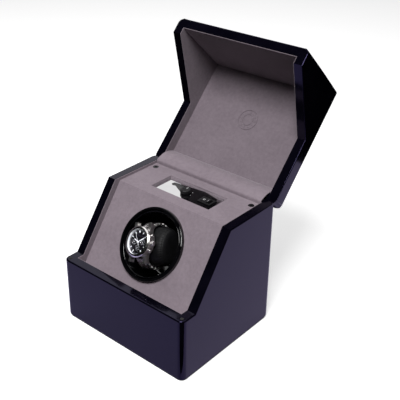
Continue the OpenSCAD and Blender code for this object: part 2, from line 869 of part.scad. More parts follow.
// Suede strip that bridges the hinge, from the back of the deck to the lid's top lining
module hinge_gusset() {
    t = 0.6;
    from = [inner_rear_y - 0.05, rear_h + 0.45];
    over = opened_point([inner_rear_y - 0.5, rear_h + lid_low - 0.5]);
    to = opened_point([inner_rear_y - 8.6, lid_lined_top - 0.6]);
    color("#a596a2") along_x(-lined_x + 0.4, lined_x - 0.4) polygon([
        [from[0] - 0.35, deck_top - 0.5], [from[0] - 0.35, from[1] + 0.2], over + [0, t], to + [0, t],
        to, over, [from[0] - 0.05, from[1] - 0.1], [from[0] - 0.05, deck_top - 0.5]
    ]);
}

module lid_bumpers() {
    color("#141416") for (s = [-1, 1]) translate([s * (half_w - board_t / 2), front_y + board_t / 2, front_h])
        cylinder(r = 2, h = 0.3);
}

left_side();
right_side();
front_board();
rear_board();
bottom_board();
base_felt();
left_liner();
right_liner();
front_liner();
fascia();
deck();
deck_cleats();
deck_screws();
control_plate();
circuit_board();
mode_knob();
power_rocker();
rocker_housing();
trim_ring();
drive_frame();
frame_screws();
shaft_bushes();
gear_motor();
motor_screws();
motor_pinion();
rotor_gear();
rotor_shaft();
shaft_clip();
rotor_cup();
dc_inlet();
inlet_nut();
cushion();
watch_case();
watch_bezel();
watch_dial();
dial_markers();
watch_hands();
watch_crystal();
watch_crown();
watch_pushers();
watch_bracelet();
bracelet_clasp();
lid_top();
lid_front();
lid_rear();
lid_left();
lid_right();
lid_top_liner();
lid_left_liner();
lid_right_liner();
lid_front_liner();
lid_emblem();
hinge_base_leaves();
hinge_lid_leaves();
hinge_pins();
hinge_gusset();
lid_bumpers();
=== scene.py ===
"""The looks of a watch winder box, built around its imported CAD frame. Metres, +Z up, -Y to the front."""

import json
import math

import bmesh
import bpy
from mathutils import Matrix, Vector, noise


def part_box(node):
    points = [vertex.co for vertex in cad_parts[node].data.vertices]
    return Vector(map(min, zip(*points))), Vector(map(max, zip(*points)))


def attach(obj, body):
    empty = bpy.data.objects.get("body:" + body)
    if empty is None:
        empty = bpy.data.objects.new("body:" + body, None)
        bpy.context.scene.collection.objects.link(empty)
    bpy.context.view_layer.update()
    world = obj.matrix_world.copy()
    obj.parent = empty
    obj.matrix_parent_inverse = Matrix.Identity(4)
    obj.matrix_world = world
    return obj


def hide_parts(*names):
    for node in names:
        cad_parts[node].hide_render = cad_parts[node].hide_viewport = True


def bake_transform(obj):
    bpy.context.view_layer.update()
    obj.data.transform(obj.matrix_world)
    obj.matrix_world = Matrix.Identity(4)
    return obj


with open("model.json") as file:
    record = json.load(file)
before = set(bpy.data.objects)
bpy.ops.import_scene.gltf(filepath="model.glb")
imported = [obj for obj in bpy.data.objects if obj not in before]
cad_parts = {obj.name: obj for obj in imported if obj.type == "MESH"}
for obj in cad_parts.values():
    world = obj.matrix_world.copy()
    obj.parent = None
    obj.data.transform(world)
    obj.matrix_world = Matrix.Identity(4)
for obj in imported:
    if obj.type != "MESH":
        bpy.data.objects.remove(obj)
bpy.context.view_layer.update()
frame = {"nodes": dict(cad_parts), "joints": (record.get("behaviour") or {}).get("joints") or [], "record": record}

MM = 0.001
scene = bpy.context.scene
nodes = frame["nodes"]
joints = {j["name"]: j for j in frame["joints"]}
bodies = frame["record"]["behaviour"]["bodies"]
slot_of = {s["node"]: s["material_slot"] for s in frame["record"]["subparts"]}

# ---------- places, taken from the frame ----------


def turn(point, angle, axis="X"):
    """A turn by angle about the axis through point."""
    return Matrix.Translation(point) @ Matrix.Rotation(angle, 4, axis) @ Matrix.Translation(-Vector(point))


hinge = Vector(joints["lid_hinge"]["pos_m"])
open_angle = math.radians(joints["lid_hinge"]["range_deg"][1])
SHUT = turn(hinge, open_angle)
STILL = Matrix.Identity(4)

case_low, case_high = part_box("left_side")
half_w = -case_low.x
half_d = case_high.y
inner_x = half_w - (case_high.x - case_low.x)
rear_h = case_high.z

rotor_axis = Vector(joints["rotor_spin"]["axis"])
rotor_centre = Vector(joints["rotor_spin"]["pos_m"])
slope = math.atan2(-rotor_axis.y, rotor_axis.z)
AT_ROTOR = Matrix.Translation(rotor_centre) @ Matrix.Rotation(slope, 4, "X")

# The cushion's place in the rotor: rolled, dropped into the cup and leaning to one side
CUSHION_ROLL = math.radians(16)
CUSHION_LEAN = math.radians(8)
CUSHION_DROP = Vector((0, -1, -4)) * MM
CUSHION_HALF = Vector((29, 23, 18)) * MM
AT_CUSHION = (
    AT_ROTOR
    @ Matrix.Rotation(CUSHION_ROLL, 4, "Z")
    @ Matrix.Translation(CUSHION_DROP)
    @ Matrix.Rotation(-CUSHION_LEAN, 4, "Y")
)
AT_WATCH = AT_CUSHION @ Matrix.Translation((0, 0, CUSHION_HALF.z))
WATCH_R = 17.6 * MM
CUP_IN_R = 36 * MM

# ---------- camera, stage and light ----------

CAMERA_AZIMUTH = math.radians(39.834)
CAMERA_ELEVATION = math.radians(27.267)
CAMERA_ROLL = math.radians(0.955)
CAMERA_TARGET = Vector((0.0455, 0.0, 0.1949))
CAMERA_DISTANCE = 0.7796


def make_camera():
    az, el = CAMERA_AZIMUTH, CAMERA_ELEVATION
    back = Vector((math.sin(az) * math.cos(el), -math.cos(az) * math.cos(el), math.sin(el)))
    level = Vector((math.cos(az), math.sin(az), 0))
    up = back.cross(level)
    right = math.cos(CAMERA_ROLL) * level + math.sin(CAMERA_ROLL) * up
    top = math.cos(CAMERA_ROLL) * up - math.sin(CAMERA_ROLL) * level
    data = bpy.data.cameras.new("camera")
    data.lens = 68.01
    data.sensor_width = 36
    data.shift_y = -0.05
    camera = bpy.data.objects.new("camera", data)
    scene.collection.objects.link(camera)
    axes = Matrix((right, top, back)).transposed().to_4x4()
    camera.matrix_world = Matrix.Translation(CAMERA_TARGET + back * CAMERA_DISTANCE) @ axes
    scene.camera = camera


def make_softbox(name, place, target, size, power, colour=(1, 1, 1)):
    data = bpy.data.lights.new(name, "AREA")
    data.shape = "SQUARE"
    data.size = size
    data.energy = power
    data.color = colour
    light = bpy.data.objects.new(name, data)
    scene.collection.objects.link(light)
    light.location = place
    light.rotation_mode = "QUATERNION"
    light.rotation_quaternion = (Vector(place) - Vector(target)).to_track_quat("Z", "Y")
    return light


def level_sheet(name, x0, y0, x1, y1, z, colour, glow=0.0, tint=(1, 1, 1)):
    """A level rectangle of matt paper."""
    mesh = bpy.data.meshes.new(name)
    mesh.from_pydata([(x0, y0, z), (x1, y0, z), (x1, y1, z), (x0, y1, z)], [], [(0, 1, 2, 3)])
    material = bpy.data.materials.new(name)
    material.use_nodes = True
    material.cycles.emission_sampling = "NONE"
    shader = material.node_tree.nodes["Principled BSDF"]
    shader.inputs["Base Color"].default_value = (*(colour * part for part in tint), 1)
    shader.inputs["Roughness"].default_value = 1
    shader.inputs["Specular IOR Level"].default_value = 0
    shader.inputs["Emission Color"].default_value = (*tint, 1)
    shader.inputs["Emission Strength"].default_value = glow
    mesh.materials.append(material)
    obj = bpy.data.objects.new(name, mesh)
    scene.collection.objects.link(obj)
    return obj


def seen_only_by(obj, *rays):
    for ray in ("camera", "diffuse", "glossy", "transmission", "volume_scatter", "shadow"):
        setattr(obj, "visible_" + ray, ray in rays)


FLOOR_REACH = 60
FLOOR_GLOW = 0.56
BOUNCE_REACH = 4
CARD_LIFT = 0.3 * MM
CARD_LEFT, CARD_SPLIT, CARD_RIGHT = -0.23, 0.0905, 0.34
FRONT_TINT = (0.68, 0.62, 1.0)
SIDE_TINT = (0.78, 0.70, 1.0)


def make_stage():
    """A pale floor. The gloss reflects only two bluish cards that lie in front of the box and beside it, as
    in a studio whose other walls are dark. A dark card throws back a little light, in place of the floor."""
    floor = level_sheet("floor", -FLOOR_REACH, -FLOOR_REACH, FLOOR_REACH, FLOOR_REACH, 0, 0.92, FLOOR_GLOW)
    seen_only_by(floor, "camera", "transmission")
    reach = BOUNCE_REACH
    bounce = level_sheet("bounce_card", -reach, -reach, reach, reach, -0.5 * MM, 0.04)
    seen_only_by(bounce, "diffuse")
    front_card = level_sheet(
        "front_card", CARD_LEFT, -0.24, CARD_SPLIT, 0.37, CARD_LIFT, 0.80, 0, FRONT_TINT
    )
    side_card = level_sheet(
        "side_card", CARD_SPLIT, -0.085, CARD_RIGHT, 0.45, CARD_LIFT, 0.95, 0.15, SIDE_TINT
    )
    for card in (front_card, side_card):
        seen_only_by(card, "glossy")


ROOM_LIGHT = 0.035
LIGHTS_AIM = (0, 0.03, 0.15)


def make_light():
    world = bpy.data.worlds.new("studio")
    world.use_nodes = True
    background = world.node_tree.nodes["Background"]
    background.inputs["Color"].default_value = (1.0, 0.985, 1.0, 1)
    background.inputs["Strength"].default_value = ROOM_LIGHT
    scene.world = world
    world.cycles_visibility.glossy = False
    make_softbox("key_softbox", (0.42, -1.0, 2.05), (0, 0.08, 0.18), 0.9, 48)
    make_softbox("top_softbox", (-0.45, 0.35, 1.35), LIGHTS_AIM, 1.2, 5.5)
    rear = make_softbox("rear_softbox", (-0.80, 0.98, 0.78), LIGHTS_AIM, 1.0, 2.8)
    rear.visible_diffuse = False


# ---------- materials ----------


def new_material(name):
    material = bpy.data.materials.new(name)
    material.use_nodes = True
    tree = material.node_tree
    shader = tree.nodes["Principled BSDF"]
    coordinates = tree.nodes.new("ShaderNodeTexCoord")
    return material, tree, shader, coordinates.outputs["Object"]


def noise_of(tree, place, scale, detail=3, stretch=(1, 1, 1), roughness=0.55):
    """A noise in the piece's own metres: scale is in cycles per metre."""
    mapping = tree.nodes.new("ShaderNodeMapping")
    mapping.inputs["Scale"].default_value = stretch
    tree.links.new(place, mapping.inputs["Vector"])
    texture = tree.nodes.new("ShaderNodeTexNoise")
    texture.inputs["Scale"].default_value = scale
    texture.inputs["Detail"].default_value = detail
    texture.inputs["Roughness"].default_value = roughness
    tree.links.new(mapping.outputs["Vector"], texture.inputs["Vector"])
    return texture.outputs["Fac"]


def spread(tree, value, low, high, at=(0.3, 0.7)):
    """Takes a noise from its usual range, at, to the range low to high."""
    node = tree.nodes.new("ShaderNodeMapRange")
    for socket, number in zip(("From Min", "From Max", "To Min", "To Max"), (*at, low, high)):
        node.inputs[socket].default_value = number
    tree.links.new(value, node.inputs["Value"])
    return node.outputs["Result"]


def blend_colours(tree, share, first, second):
    node = tree.nodes.new("ShaderNodeMix")
    node.data_type = "RGBA"
    tree.links.new(share, node.inputs["Factor"])
    for socket, colour in ((6, first), (7, second)):
        if isinstance(colour, tuple):
            node.inputs[socket].default_value = (*colour, 1)
        else:
            tree.links.new(colour, node.inputs[socket])
    return node.outputs[2]


def bump_of(tree, height, distance, strength=1.0, under=None):
    node = tree.nodes.new("ShaderNodeBump")
    node.inputs["Distance"].default_value = distance
    node.inputs["Strength"].default_value = strength
    tree.links.new(height, node.inputs["Height"])
    if under is not None:
        tree.links.new(under, node.inputs["Normal"])
    return node.outputs["Normal"]


def surface(name, tones, roughness, patch=60, grain=900, relief=0.01, stretch=(1, 1, 1), **constants):
    """A general finish: colour and roughness drift over patches, and a fine grain stands in relief (mm)."""
    material, tree, shader, place = new_material(name)
    drift = noise_of(tree, place, patch)
    fine = noise_of(tree, place, grain, 2, stretch)
    colour = blend_colours(tree, spread(tree, drift, 0, 1), *tones)
    tree.links.new(colour, shader.inputs["Base Color"])
    tree.links.new(spread(tree, fine, *roughness), shader.inputs["Roughness"])
    tree.links.new(bump_of(tree, fine, relief * MM), shader.inputs["Normal"])
    for socket, value in constants.items():
        shader.inputs[socket.replace("_", " ")].default_value = value
    return material


def suede(name, dark, light):
    """Microsuede: brushed patches of nap, a soft mottle, and short fibres that catch the light on edge."""
    material, tree, shader, place = new_material(name)
    brushed = spread(tree, noise_of(tree, place, 22, 2, (1, 1.7, 1)), 0, 1)
    mottle = spread(tree, noise_of(tree, place, 260, 4), 0, 1)
    fibre = noise_of(tree, place, 2600, 2)
    nap = tree.nodes.new("ShaderNodeMix")
    nap.inputs["Factor"].default_value = 0.55
    tree.links.new(brushed, nap.inputs[2])
    tree.links.new(mottle, nap.inputs[3])
    base = blend_colours(tree, nap.outputs[0], dark, light)
    shade = tuple(c * 0.72 for c in dark)
    colour = blend_colours(tree, spread(tree, fibre, 0.35, 0, (0.3, 0.55)), base, shade)
    tree.links.new(colour, shader.inputs["Base Color"])
    tree.links.new(spread(tree, mottle, 0.86, 0.98, (0, 1)), shader.inputs["Roughness"])
    soft = bump_of(tree, mottle, 0.12 * MM, 0.5)
    tree.links.new(bump_of(tree, fibre, 0.16 * MM, 0.8, soft), shader.inputs["Normal"])
    shader.inputs["Specular IOR Level"].default_value = 0.15
    shader.inputs["Sheen Weight"].default_value = 0.85
    shader.inputs["Sheen Roughness"].default_value = 0.36
    shader.inputs["Sheen Tint"].default_value = (1.0, 0.93, 0.99, 1)
    return material


def lacquer(name):
    """Polished black lacquer with the faint orange peel and haze of a sprayed finish."""
    material, tree, shader, place = new_material(name)
    haze = noise_of(tree, place, 35, 4)
    peel = noise_of(tree, place, 190, 1)
    dust = noise_of(tree, place, 3200, 0)
    deep, bloom = (0.0012, 0.0010, 0.0030), (0.0030, 0.0026, 0.0062)
    tree.links.new(blend_colours(tree, spread(tree, haze, 0, 1), deep, bloom), shader.inputs["Base Color"])
    polish = tree.nodes.new("ShaderNodeMath")
    polish.operation = "ADD"
    tree.links.new(spread(tree, haze, 0.05, 0.12), polish.inputs[0])
    tree.links.new(spread(tree, dust, 0, 0.25, (0.74, 0.8)), polish.inputs[1])
    tree.links.new(polish.outputs[0], shader.inputs["Roughness"])
    tree.links.new(bump_of(tree, peel, 0.012 * MM, 0.35), shader.inputs["Normal"])
    shader.inputs["Specular Tint"].default_value = (0.50, 0.43, 0.95, 1)
    shader.inputs["IOR"].default_value = 1.38
    return material


def glass(name):
    material, tree, shader, place = new_material(name)
    smear = noise_of(tree, place, 300, 2)
    tree.links.new(spread(tree, smear, 0.0, 0.03), shader.inputs["Roughness"])
    tint = blend_colours(tree, spread(tree, smear, 0, 1), (0.97, 0.98, 1.0), (0.93, 0.95, 1.0))
    tree.links.new(tint, shader.inputs["Base Color"])
    shader.inputs["Transmission Weight"].default_value = 1
    shader.inputs["IOR"].default_value = 1.45
    return material


brushed_along = (1, 30, 30)
materials = {
    "black_lacquer": lacquer("black_lacquer"),
    "suede": suede("suede", (0.235, 0.192, 0.222), (0.325, 0.270, 0.308)),
    "board": surface("board", ((0.16, 0.11, 0.07), (0.23, 0.17, 0.11)), (0.75, 0.9), 40, 1400, 0.06),
    "felt": surface("felt", ((0.008, 0.008, 0.009), (0.02, 0.02, 0.023)),
                    (0.9, 1), 500, 1800, 0.2, Sheen_Weight=0.3),
    "black_screw": surface("black_screw", ((0.006, 0.006, 0.008), (0.02, 0.02, 0.024)),
                           (0.25, 0.45), 400, 1500, 0.01, Metallic=0.6),
    "gloss_black": surface("gloss_black", ((0.0015, 0.0015, 0.002), (0.004, 0.004, 0.005)),
                           (0.04, 0.12), 60, 160, 0.004),
    "mirror_plate": surface("mirror_plate", ((0.80, 0.80, 0.81), (0.86, 0.86, 0.86)),
                            (0.01, 0.04), 50, 120, 0.0008, Metallic=1),
    "circuit": surface("circuit", ((0.01, 0.10, 0.03), (0.02, 0.16, 0.06)),
                       (0.3, 0.45), 300, 900, 0.02),
    "satin_black": surface("satin_black", ((0.004, 0.004, 0.005), (0.009, 0.009, 0.011)),
                           (0.40, 0.55), 200, 2500, 0.012),
    "frame_steel": surface("frame_steel", ((0.36, 0.37, 0.40), (0.50, 0.51, 0.54)),
                           (0.3, 0.5), 90, 1200, 0.02, Metallic=1),
    "bronze": surface("bronze", ((0.42, 0.27, 0.10), (0.58, 0.40, 0.17)),
                      (0.35, 0.55), 300, 2000, 0.03, Metallic=1),
    "motor_can": surface("motor_can", ((0.48, 0.49, 0.51), (0.60, 0.61, 0.62)),
                         (0.22, 0.38), 120, 900, 0.01, brushed_along, Metallic=1),
    "nylon": surface("nylon", ((0.66, 0.63, 0.54), (0.78, 0.75, 0.66)),
                     (0.4, 0.55), 150, 1500, 0.02, Subsurface_Weight=0.1),
    "shaft_steel": surface("shaft_steel", ((0.55, 0.56, 0.58), (0.68, 0.69, 0.70)),
                           (0.12, 0.25), 200, 1500, 0.004, brushed_along, Metallic=1),
    "cushion_cloth": surface("cushion_cloth", ((0.0012, 0.0012, 0.0015), (0.003, 0.003, 0.004)),
                             (0.48, 0.7), 120, 1500, 0.09, Specular_IOR_Level=0.3),
    "watch_steel": surface("watch_steel", ((0.78, 0.76, 0.75), (0.88, 0.86, 0.85)),
                           (0.28, 0.42), 300, 1600, 0.004, brushed_along, Metallic=1),
    "watch_polished": surface("watch_polished", ((0.80, 0.78, 0.77), (0.88, 0.86, 0.85)),
                              (0.14, 0.26), 300, 600, 0.002, Metallic=1),
    "watch_black": surface("watch_black", ((0.002, 0.002, 0.003), (0.006, 0.005, 0.008)),
                           (0.12, 0.25), 500, 4000, 0.003),
    "watch_white": surface("watch_white", ((0.66, 0.66, 0.68), (0.80, 0.80, 0.80)),
                           (0.25, 0.4), 700, 4000, 0.004),
    "watch_dark": surface("watch_dark", ((0.010, 0.010, 0.011), (0.03, 0.03, 0.032)),
                          (0.35, 0.5), 500, 2000, 0.003, Metallic=0.5),
    "watch_bright": surface("watch_bright", ((0.80, 0.79, 0.80), (0.88, 0.87, 0.88)),
                            (0.3, 0.45), 500, 1600, 0.002, Metallic=0.35),
    # The lid's lining is the same suede as the box, in a darker copy: painted shade for the lid
    "suede_lid_painted_shade": suede("suede_lid_painted_shade", (0.185, 0.152, 0.176), (0.258, 0.214, 0.245)),
    # The emblem's suede: a little darker than the lid's copy for the pressing, and like it darker than the box's
    # suede as painted shade
    "suede_pressed_and_shaded": suede("suede_pressed_and_shaded", (0.180, 0.146, 0.170), (0.240, 0.198, 0.228)),
    "crystal": glass("crystal"),
    "hinge_brass": surface("hinge_brass", ((0.50, 0.36, 0.15), (0.66, 0.50, 0.24)),
                           (0.15, 0.32), 200, 1500, 0.006, Metallic=1),
    "rubber": surface("rubber", ((0.010, 0.010, 0.010), (0.02, 0.02, 0.02)),
                      (0.6, 0.75), 400, 2500, 0.02),
}

# ---------- mesh helpers ----------

SHARP = math.radians(32)


def body_of(node):
    return next(body for body, members in bodies.items() if node in members)


def piece(name, bm, body, slot, material=None, replaced=(), place=None):
    """A shown piece from a bmesh: smooth faces, sharp creases, its material, and the body it rides on."""
    if place is not None:
        bmesh.ops.transform(bm, matrix=place, verts=bm.verts)
    bmesh.ops.recalc_face_normals(bm, faces=bm.faces)
    for face in bm.faces:
        face.smooth = True
    for edge in bm.edges:
        edge.smooth = len(edge.link_faces) == 2 and edge.calc_face_angle() < SHARP
    mesh = bpy.data.meshes.new(name)
    bm.to_mesh(mesh)
    bm.free()
    mesh.materials.append(materials[material or slot])
    obj = bpy.data.objects.new(name, mesh)
    scene.collection.objects.link(obj)
    if body:
        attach(obj, body)
    if replaced:
        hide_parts(*replaced)
    return obj


def even_normals(obj):
    """Keeps wide faces flat in shading next to their rounded edges."""
    modifier = obj.modifiers.new("even_normals", "WEIGHTED_NORMAL")
    modifier.keep_sharp = True
    modifier.weight = 90


def soften(node, width, segments=3):
    """Rounds the edges of a CAD node that stays, without moving its points."""
    obj = nodes[node]
    weld = obj.modifiers.new("weld", "WELD")
    weld.merge_threshold = 0.01 * MM
    flatten = obj.modifiers.new("flatten", "DECIMATE")
    flatten.decimate_type = "DISSOLVE"
    flatten.angle_limit = math.radians(0.8)
    round_edges = obj.modifiers.new("round", "BEVEL")
    round_edges.width = width * MM
    round_edges.segments = segments
    round_edges.limit_method = "ANGLE"
    round_edges.angle_limit = math.radians(38)
    even_normals(obj)


def cuboid(bm, size, place, bevel=0.0, segments=2):
    """Adds a block of that size, centred at place, with rounded edges."""
    part = bmesh.new()
    bmesh.ops.create_cube(part, size=1)
    bmesh.ops.scale(part, vec=size, verts=part.verts)
    if bevel:
        edges = part.edges[:]
        bmesh.ops.bevel(part, geom=edges, offset=bevel, segments=segments, profile=0.5, affect="EDGES")
    bmesh.ops.transform(part, matrix=place, verts=part.verts)
    join(bm, part)


def join(bm, part):
    mesh = bpy.data.meshes.new("joined")
    part.to_mesh(mesh)
    part.free()
    bm.from_mesh(mesh)
    bpy.data.meshes.remove(mesh)


def lathe(bm, profile, steps=96, radius_at=None):
    """Turns a closed outline of (radius, height) about Z. radius_at(r, angle) may flute it."""
    rings = []
    for k in range(steps):
        a = 2 * math.pi * k / steps
        ring = []
        for r, z in profile:
            rr = radius_at(r, a) if radius_at else r
            ring.append(bm.verts.new((rr * math.cos(a), rr * math.sin(a), z)))
        rings.append(ring)
    count = len(profile)
    for k in range(steps):
        here, there = rings[k], rings[(k + 1) % steps]
        for i in range(count):
            j = (i + 1) % count
            bm.faces.new((here[i], there[i], there[j], here[j]))
    bmesh.ops.remove_doubles(bm, verts=bm.verts, dist=1e-7)


def at(x=0.0, y=0.0, z=0.0, turned=0.0, axis="Z"):
    """A place in millimetres, turned about an axis through it."""
    return Matrix.Translation((x * MM, y * MM, z * MM)) @ Matrix.Rotation(turned, 4, axis)


# ---------- lacquered boards ----------

CORNER_R = 7 * MM
BEVEL_FROM = math.radians(25)
HINGE_CLEAR = 12 * MM


def on_skin(p):
    """Whether a point of the shut box is on the outer face of its plan."""
    dx, dy = abs(p.x) - (half_w - CORNER_R), abs(p.y) - (half_d - CORNER_R)
    outside = math.hypot(dx, dy) if dx > 0 and dy > 0 else max(dx, dy)
    return abs(outside - CORNER_R) < 0.06 * MM


def lacquered_board(node, shut=STILL, rounding=1.7 * MM, sliver=0.01 * MM):
    """A board with the CAD board's shape, its outer edges rounded as sprayed lacquer leaves them.
    Edges shorter than sliver are closed up first, where the leaning front cuts across a round corner."""
    bm = bmesh.new()
    bm.from_mesh(nodes[node].data)
    bmesh.ops.transform(bm, matrix=shut, verts=bm.verts)
    bmesh.ops.remove_doubles(bm, verts=bm.verts, dist=0.01 * MM)
    bmesh.ops.dissolve_limit(bm, angle_limit=math.radians(0.8), verts=bm.verts, edges=bm.edges)
    bmesh.ops.remove_doubles(bm, verts=bm.verts, dist=sliver)
    chosen = []
    for edge in bm.edges:
        a, b = (v.co for v in edge.verts)
        middle = (a + b) / 2
        by_hinge = abs(middle.z - hinge.z) < HINGE_CLEAR and middle.y > hinge.y - HINGE_CLEAR
        joint = abs(abs(middle.x) - inner_x) < 0.05 * MM
        if len(edge.link_faces) != 2 or by_hinge or joint or not (on_skin(a) and on_skin(b)):
            continue
        tilts = sorted(abs(face.normal.z) for face in edge.link_faces)
        if tilts[0] < 0.1 and tilts[1] > 0.4 and edge.calc_face_angle() > BEVEL_FROM:
            chosen.append(edge)
    bmesh.ops.bevel(bm, geom=chosen, offset=rounding, segments=5, profile=0.5, affect="EDGES")
    name = node + "_lacquered"
    obj = piece(name, bm, body_of(node), "black_lacquer", replaced=[node], place=shut.inverted())
    even_normals(obj)


for name in ("left_side", "right_side", "front_board", "rear_board"):
    lacquered_board(name)
for name in ("lid_left", "lid_right", "lid_front", "lid_rear", "lid_top"):
    lacquered_board(name, SHUT, 1.2 * MM, 0.37 * MM)

# ---------- suede ----------


def inflate(obj, pressure, frames):
    """Fills a closed cloth skin with air and keeps the shape that it takes."""
    cloth = obj.modifiers.new("cloth", "CLOTH")
    cloth.settings.quality = 5
    cloth.settings.mass = 0.15
    cloth.settings.tension_stiffness = 12
    cloth.settings.compression_stiffness = 12
    cloth.settings.bending_stiffness = 0.1
    cloth.settings.use_pressure = True
    cloth.settings.uniform_pressure_force = pressure
    cloth.settings.effector_weights.gravity = 0
    cloth.point_cache.frame_start = 1
    cloth.point_cache.frame_end = frames
    for frame_number in range(1, frames + 1):
        scene.frame_set(frame_number)
    take_shape(obj)
    scene.frame_set(1)


def take_shape(obj):
    """Makes what the modifiers give into the piece's own mesh, and removes the modifiers."""
    evaluated = obj.evaluated_get(bpy.context.evaluated_depsgraph_get())
    mesh = bpy.data.meshes.new_from_object(evaluated)
    mesh.name = obj.name
    obj.modifiers.clear()
    old, obj.data = obj.data, mesh
    bpy.data.meshes.remove(old)


def smooth_step(low, high, value):
    t = min(max((value - low) / (high - low), 0), 1)
    return t * t * (3 - 2 * t)


STRAP_HALF = 9 * MM
CUSHION_BULGE = 15 * MM
CUSHION_SEAM = 23.5 * MM
PILLOW_POWER = 2 / 6


def pillow(bm, half, rows=26, around=48):
    """An oval roll whose ends are rounded over, before it is filled."""
    rings = []
    for i in range(1, rows):
        phi = math.pi * (i / rows - 0.5)
        along = math.copysign(abs(math.sin(phi)) ** PILLOW_POWER, phi) * half.x
        girth = math.cos(phi) ** PILLOW_POWER
        turns = [2 * math.pi * k / around for k in range(around)]
        points = [(along, half.y * girth * math.cos(a), half.z * girth * math.sin(a)) for a in turns]
        rings.append([bm.verts.new(p) for p in points])
    for here, there in zip(rings, rings[1:]):
        for k in range(around):
            n = (k + 1) % around
            bm.faces.new((here[k], here[n], there[n], there[k]))
    for ring, side in ((rings[0], -1), (rings[-1], 1)):
        tip = bm.verts.new((side * half.x, 0, 0))
        for k in range(around):
            bm.faces.new((ring[k], ring[(k + 1) % around], tip))


def hold_cushion(p):
    """Where the strap, the cup and the cushion's own cover let a point of the filled cushion be."""
    free = smooth_step(STRAP_HALF, CUSHION_BULGE, abs(p.x))
    y_max = CUSHION_HALF.y - (1 - free) * 1.5 * MM
    z_max = CUSHION_HALF.z - (1 - free) * 1.3 * MM
    reach = math.hypot(p.y / y_max, p.z / z_max)
    if reach > 1:
        p = Vector((p.x, p.y / reach, p.z / reach))
    p.x = min(max(p.x, -CUSHION_HALF.x), CUSHION_HALF.x)
    in_cup = AT_ROTOR.inverted() @ AT_CUSHION @ p
    out = math.hypot(in_cup.x, in_cup.y) / (CUP_IN_R - 1.2 * MM)
    if out > 1:
        in_cup.x /= out
        in_cup.y /= out
        p = AT_CUSHION.inverted() @ AT_ROTOR @ in_cup
    return p


def sewn(p):
    """The seam round each end, with the small puckers that its thread pulls."""
    girth = math.hypot(p.y, p.z)
    if girth < 2 * MM:
        return p
    angle = math.atan2(p.z, p.y)
    off = (abs(p.x) - CUSHION_SEAM) / MM
    groove = 0.75 * math.exp(-((off / 0.9) ** 2))
    pucker = 0.22 * math.sin(34 * angle + 2 * math.sin(3 * angle)) * math.exp(-((off / 3.2) ** 2))
    crease = 0.5 * noise.noise(Vector((p.x * 70, p.y * 90, p.z * 90)))
    inward = (groove + pucker + 0.35 * abs(crease)) * MM / girth
    return Vector((p.x, p.y * (1 - inward), p.z * (1 - inward)))


def make_cushion():
    bm = bmesh.new()
    pillow(bm, CUSHION_HALF * 0.94)
    obj = piece("cushion_padded", bm, "watch_cushion", "cushion_cloth", replaced=["cushion"])
    remesh = obj.modifiers.new("remesh", "REMESH")
    remesh.mode = "VOXEL"
    remesh.voxel_size = 1.8 * MM
    take_shape(obj)
    inflate(obj, 4, 20)
    for v in obj.data.vertices:
        v.co = hold_cushion(v.co)
    ease = obj.modifiers.new("ease", "SMOOTH")
    ease.iterations = 4
    obj.modifiers.new("fine", "SUBSURF").levels = 1
    take_shape(obj)
    for v in obj.data.vertices:
        v.co = AT_CUSHION @ sewn(hold_cushion(v.co))
    for polygon in obj.data.polygons:
        polygon.use_smooth = True
    obj.data.materials.clear()
    obj.data.materials.append(materials["cushion_cloth"])


def bezier(points, steps):
    """Points along a quadratic curve through the first and the last of three points."""
    a, b, c = (Vector(p) for p in points)
    ts = [k / steps for k in range(steps + 1)]
    return [(1 - t) ** 2 * a + 2 * t * (1 - t) * b + t * t * c for t in ts]


def make_gusset():
    """The suede that bridges the hinge: tucked down behind the deck, humped over the hinge, and laid on the
    lid's lining."""
    low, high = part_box("hinge_gusset")
    tuck_y = low.y + 0.35 * MM
    start = (tuck_y, low.z)
    bend_end = (tuck_y + 2.8 * MM, rear_h + 2.2 * MM)
    bend = [(tuck_y, rear_h - 1 * MM), (tuck_y, rear_h + 1.3 * MM), bend_end]
    hump = ((low.y + high.y) / 2 + 1.6 * MM, high.z + 2.9 * MM)
    over = [bend_end, hump, (high.y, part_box("lid_top_liner")[0].z + 0.5 * MM)]
    path = [Vector(start)] + bezier(bend, 7) + bezier(over, 16)[1:]
    columns = 72
    thick = 0.6 * MM
    bm = bmesh.new()
    sides = []
    for side in (-1, 1):
        rows = []
        for i, point in enumerate(path):
            tangent = path[min(i + 1, len(path) - 1)] - path[max(i - 1, 0)]
            normal = Vector((-tangent.y, tangent.x)).normalized()
            row = []
            for k in range(columns + 1):
                x = low.x + (high.x - low.x) * k / columns
                free = smooth_step(2, 8, i) * (1 - smooth_step(17, 23, i))
                ripple = 0.3 * MM * free * noise.noise(Vector((x * 34, point.x * 60, 0)))
                at_point = point + normal * (side * thick / 2 + ripple)
                row.append(bm.verts.new((x, at_point.x, at_point.y)))
            rows.append(row)
        sides.append(rows)
    for rows in sides:
        for here, there in zip(rows, rows[1:]):
            for k in range(columns):
                bm.faces.new((here[k], here[k + 1], there[k + 1], there[k]))
    under, upper = sides
    for i in (0, -1):
        for k in range(columns):
            bm.faces.new((under[i][k], under[i][k + 1], upper[i][k + 1], upper[i][k]))
    for k in (0, -1):
        for i in range(len(path) - 1):
            bm.faces.new((under[i][k], under[i + 1][k], upper[i + 1][k], upper[i][k]))
    obj = piece("gusset_suede", bm, None, "suede", replaced=["hinge_gusset"])
    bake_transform(obj)


EMBLEM_R = 12.6


